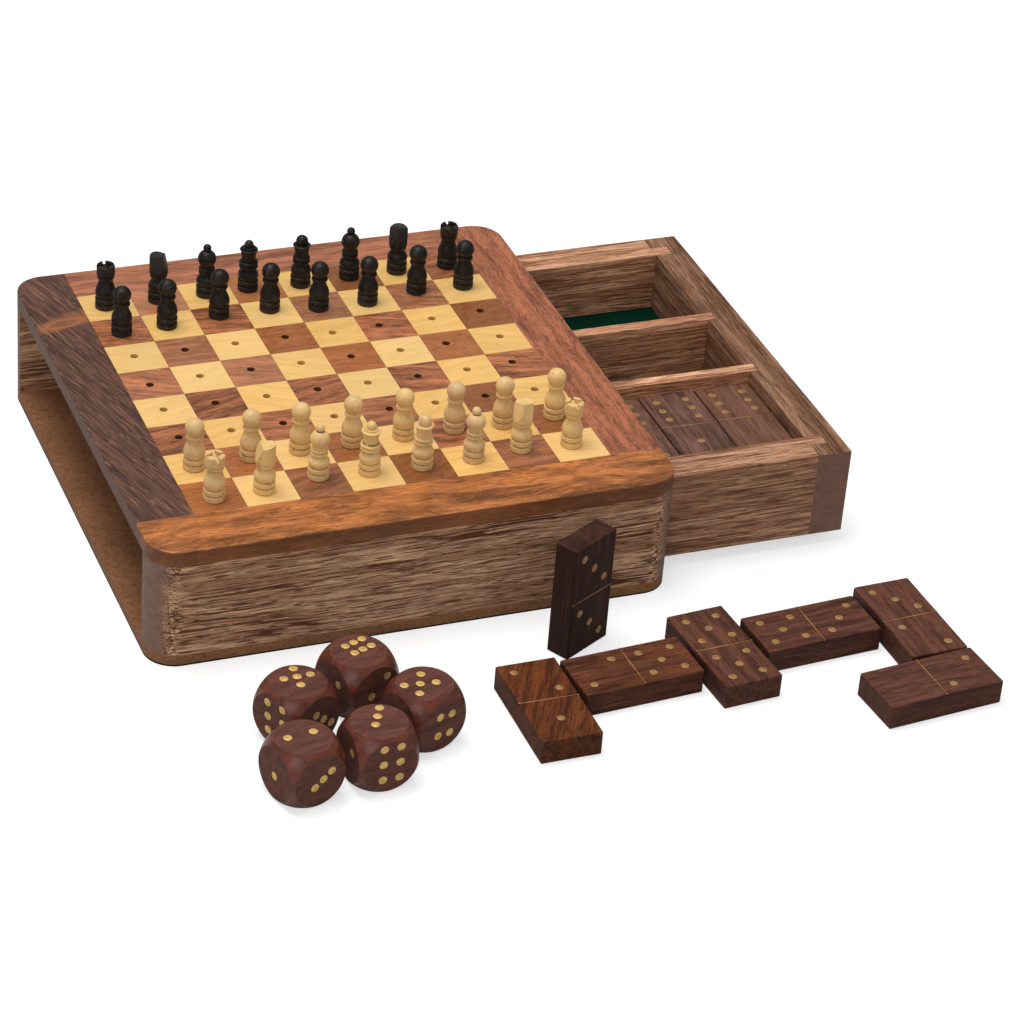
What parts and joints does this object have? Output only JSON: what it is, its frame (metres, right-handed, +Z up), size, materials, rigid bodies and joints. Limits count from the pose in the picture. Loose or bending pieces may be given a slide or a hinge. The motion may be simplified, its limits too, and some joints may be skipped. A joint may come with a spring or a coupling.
{
  "type": "games compendium box",
  "caption": "Wooden games box: peg chess board on an open-ended sleeve with a sliding felt-lined drawer, pegged chessmen, dominoes and dice.",
  "frame": {"origin": "centre of the felt under the sleeve, on the table", "axes": "+X along the front edge to the right, the way the drawer slides out; +Y from the front edge to the back; +Z up"},
  "size_m": [0.2525, 0.2664, 0.0621],
  "materials": {
    "panel_board": "matt hardboard",
    "dark_squares": "gloss lacquered rosewood",
    "light_squares": "gloss lacquered maple",
    "rosewood_border": "gloss lacquered rosewood",
    "zebra_walls": "satin striped wood",
    "green_felt": "felt",
    "walnut_drawer": "satin striped walnut",
    "domino_rosewood": "polished rosewood",
    "dice_rosewood": "polished rosewood",
    "boxwood_men": "satin boxwood",
    "ebonised_men": "satin ebonised wood"
  },
  "bodies": {
    "case": {"board_core": "panel_board", "board_dark_squares": "dark_squares", "board_light_squares": "light_squares", "board_border_strips": "rosewood_border", "case_front_wall": "zebra_walls", "case_back_wall": "zebra_walls", "case_bottom_panel": "panel_board", "case_base_felt": "green_felt"},
    "drawer": {"drawer_left_end": "walnut_drawer", "drawer_right_end": "walnut_drawer", "drawer_front_side": "walnut_drawer", "drawer_back_side": "walnut_drawer", "drawer_floor": "walnut_drawer", "drawer_dividers": "walnut_drawer", "drawer_felt_pads": "green_felt", "stored_dominoes": "domino_rosewood"},
    "black_bishop_c": {"black_bishop_c": "ebonised_men"},
    "black_bishop_f": {"black_bishop_f": "ebonised_men"},
    "black_king": {"black_king": "ebonised_men"},
    "black_knight_b": {"black_knight_b": "ebonised_men"},
    "black_knight_g": {"black_knight_g": "ebonised_men"},
    "black_pawn_a": {"black_pawn_a": "ebonised_men"},
    "black_pawn_b": {"black_pawn_b": "ebonised_men"},
    "black_pawn_c": {"black_pawn_c": "ebonised_men"},
    "black_pawn_d": {"black_pawn_d": "ebonised_men"},
    "black_pawn_e": {"black_pawn_e": "ebonised_men"},
    "black_pawn_f": {"black_pawn_f": "ebonised_men"},
    "black_pawn_g": {"black_pawn_g": "ebonised_men"},
    "black_pawn_h": {"black_pawn_h": "ebonised_men"},
    "black_queen": {"black_queen": "ebonised_men"},
    "black_rook_a": {"black_rook_a": "ebonised_men"},
    "black_rook_h": {"black_rook_h": "ebonised_men"},
    "white_bishop_c": {"white_bishop_c": "boxwood_men"},
    "white_bishop_f": {"white_bishop_f": "boxwood_men"},
    "white_king": {"white_king": "boxwood_men"},
    "white_knight_b": {"white_knight_b": "boxwood_men"},
    "white_knight_g": {"white_knight_g": "boxwood_men"},
    "white_pawn_a": {"white_pawn_a": "boxwood_men"},
    "white_pawn_b": {"white_pawn_b": "boxwood_men"},
    "white_pawn_c": {"white_pawn_c": "boxwood_men"},
    "white_pawn_d": {"white_pawn_d": "boxwood_men"},
    "white_pawn_e": {"white_pawn_e": "boxwood_men"},
    "white_pawn_f": {"white_pawn_f": "boxwood_men"},
    "white_pawn_g": {"white_pawn_g": "boxwood_men"},
    "white_pawn_h": {"white_pawn_h": "boxwood_men"},
    "white_queen": {"white_queen": "boxwood_men"},
    "white_rook_a": {"white_rook_a": "boxwood_men"},
    "white_rook_h": {"white_rook_h": "boxwood_men"},
    "domino_0_2": {"domino_0_2": "domino_rosewood"},
    "domino_2_1": {"domino_2_1": "domino_rosewood"},
    "domino_2_5": {"domino_2_5": "domino_rosewood"},
    "domino_3_2": {"domino_3_2": "domino_rosewood"},
    "domino_3_3": {"domino_3_3": "domino_rosewood"},
    "domino_5_3": {"domino_5_3": "domino_rosewood"},
    "domino_5_5": {"domino_5_5": "domino_rosewood"},
    "die_back": {"die_back": "dice_rosewood"},
    "die_back_left": {"die_back_left": "dice_rosewood"},
    "die_front": {"die_front": "dice_rosewood"},
    "die_front_left": {"die_front_left": "dice_rosewood"},
    "die_right": {"die_right": "dice_rosewood"}
  },
  "joints": [
    {"name": "drawer_slide", "type": "slide", "parent": "case", "child": "drawer", "axis": [1, 0, 0], "range_m": [-0.1965, 0.0635]},
    {"name": "black_bishop_c_lift", "type": "slide", "parent": "case", "child": "black_bishop_c", "axis": [0, 0, 1], "range_m": [0, 0.045]},
    {"name": "black_bishop_f_lift", "type": "slide", "parent": "case", "child": "black_bishop_f", "axis": [0, 0, 1], "range_m": [0, 0.045]},
    {"name": "black_king_lift", "type": "slide", "parent": "case", "child": "black_king", "axis": [0, 0, 1], "range_m": [0, 0.045]},
    {"name": "black_knight_b_lift", "type": "slide", "parent": "case", "child": "black_knight_b", "axis": [0, 0, 1], "range_m": [0, 0.045]},
    {"name": "black_knight_g_lift", "type": "slide", "parent": "case", "child": "black_knight_g", "axis": [0, 0, 1], "range_m": [0, 0.045]},
    {"name": "black_pawn_a_lift", "type": "slide", "parent": "case", "child": "black_pawn_a", "axis": [0, 0, 1], "range_m": [0, 0.045]},
    {"name": "black_pawn_b_lift", "type": "slide", "parent": "case", "child": "black_pawn_b", "axis": [0, 0, 1], "range_m": [0, 0.045]},
    {"name": "black_pawn_c_lift", "type": "slide", "parent": "case", "child": "black_pawn_c", "axis": [0, 0, 1], "range_m": [0, 0.045]},
    {"name": "black_pawn_d_lift", "type": "slide", "parent": "case", "child": "black_pawn_d", "axis": [0, 0, 1], "range_m": [0, 0.045]},
    {"name": "black_pawn_e_lift", "type": "slide", "parent": "case", "child": "black_pawn_e", "axis": [0, 0, 1], "range_m": [0, 0.045]},
    {"name": "black_pawn_f_lift", "type": "slide", "parent": "case", "child": "black_pawn_f", "axis": [0, 0, 1], "range_m": [0, 0.045]},
    {"name": "black_pawn_g_lift", "type": "slide", "parent": "case", "child": "black_pawn_g", "axis": [0, 0, 1], "range_m": [0, 0.045]},
    {"name": "black_pawn_h_lift", "type": "slide", "parent": "case", "child": "black_pawn_h", "axis": [0, 0, 1], "range_m": [0, 0.045]},
    {"name": "black_queen_lift", "type": "slide", "parent": "case", "child": "black_queen", "axis": [0, 0, 1], "range_m": [0, 0.045]},
    {"name": "black_rook_a_lift", "type": "slide", "parent": "case", "child": "black_rook_a", "axis": [0, 0, 1], "range_m": [0, 0.045]},
    {"name": "black_rook_h_lift", "type": "slide", "parent": "case", "child": "black_rook_h", "axis": [0, 0, 1], "range_m": [0, 0.045]},
    {"name": "white_bishop_c_lift", "type": "slide", "parent": "case", "child": "white_bishop_c", "axis": [0, 0, 1], "range_m": [0, 0.045]},
    {"name": "white_bishop_f_lift", "type": "slide", "parent": "case", "child": "white_bishop_f", "axis": [0, 0, 1], "range_m": [0, 0.045]},
    {"name": "white_king_lift", "type": "slide", "parent": "case", "child": "white_king", "axis": [0, 0, 1], "range_m": [0, 0.045]},
    {"name": "white_knight_b_lift", "type": "slide", "parent": "case", "child": "white_knight_b", "axis": [0, 0, 1], "range_m": [0, 0.045]},
    {"name": "white_knight_g_lift", "type": "slide", "parent": "case", "child": "white_knight_g", "axis": [0, 0, 1], "range_m": [0, 0.045]},
    {"name": "white_pawn_a_lift", "type": "slide", "parent": "case", "child": "white_pawn_a", "axis": [0, 0, 1], "range_m": [0, 0.045]},
    {"name": "white_pawn_b_lift", "type": "slide", "parent": "case", "child": "white_pawn_b", "axis": [0, 0, 1], "range_m": [0, 0.045]},
    {"name": "white_pawn_c_lift", "type": "slide", "parent": "case", "child": "white_pawn_c", "axis": [0, 0, 1], "range_m": [0, 0.045]},
    {"name": "white_pawn_d_lift", "type": "slide", "parent": "case", "child": "white_pawn_d", "axis": [0, 0, 1], "range_m": [0, 0.045]},
    {"name": "white_pawn_e_lift", "type": "slide", "parent": "case", "child": "white_pawn_e", "axis": [0, 0, 1], "range_m": [0, 0.045]},
    {"name": "white_pawn_f_lift", "type": "slide", "parent": "case", "child": "white_pawn_f", "axis": [0, 0, 1], "range_m": [0, 0.045]},
    {"name": "white_pawn_g_lift", "type": "slide", "parent": "case", "child": "white_pawn_g", "axis": [0, 0, 1], "range_m": [0, 0.045]},
    {"name": "white_pawn_h_lift", "type": "slide", "parent": "case", "child": "white_pawn_h", "axis": [0, 0, 1], "range_m": [0, 0.045]},
    {"name": "white_queen_lift", "type": "slide", "parent": "case", "child": "white_queen", "axis": [0, 0, 1], "range_m": [0, 0.045]},
    {"name": "white_rook_a_lift", "type": "slide", "parent": "case", "child": "white_rook_a", "axis": [0, 0, 1], "range_m": [0, 0.045]},
    {"name": "white_rook_h_lift", "type": "slide", "parent": "case", "child": "white_rook_h", "axis": [0, 0, 1], "range_m": [0, 0.045]},
    {"name": "domino_0_2_lift", "type": "slide", "parent": "case", "child": "domino_0_2", "axis": [0, 0, 1], "range_m": [0, 0.07]},
    {"name": "domino_2_1_lift", "type": "slide", "parent": "case", "child": "domino_2_1", "axis": [0, 0, 1], "range_m": [0, 0.07]},
    {"name": "domino_2_5_lift", "type": "slide", "parent": "case", "child": "domino_2_5", "axis": [0, 0, 1], "range_m": [0, 0.07]},
    {"name": "domino_3_2_lift", "type": "slide", "parent": "case", "child": "domino_3_2", "axis": [0, 0, 1], "range_m": [0, 0.07]},
    {"name": "domino_3_3_lift", "type": "slide", "parent": "case", "child": "domino_3_3", "axis": [0, 0, 1], "range_m": [0, 0.07]},
    {"name": "domino_5_3_lift", "type": "slide", "parent": "case", "child": "domino_5_3", "axis": [0, 0, 1], "range_m": [0, 0.07]},
    {"name": "domino_5_5_lift", "type": "slide", "parent": "case", "child": "domino_5_5", "axis": [0, 0, 1], "range_m": [0, 0.07]},
    {"name": "die_back_lift", "type": "slide", "parent": "case", "child": "die_back", "axis": [0, 0, 1], "range_m": [0, 0.07]},
    {"name": "die_back_left_lift", "type": "slide", "parent": "case", "child": "die_back_left", "axis": [0, 0, 1], "range_m": [0, 0.07]},
    {"name": "die_front_lift", "type": "slide", "parent": "case", "child": "die_front", "axis": [0, 0, 1], "range_m": [0, 0.07]},
    {"name": "die_front_left_lift", "type": "slide", "parent": "case", "child": "die_front_left", "axis": [0, 0, 1], "range_m": [0, 0.07]},
    {"name": "die_right_lift", "type": "slide", "parent": "case", "child": "die_right", "axis": [0, 0, 1], "range_m": [0, 0.07]}
  ]
}
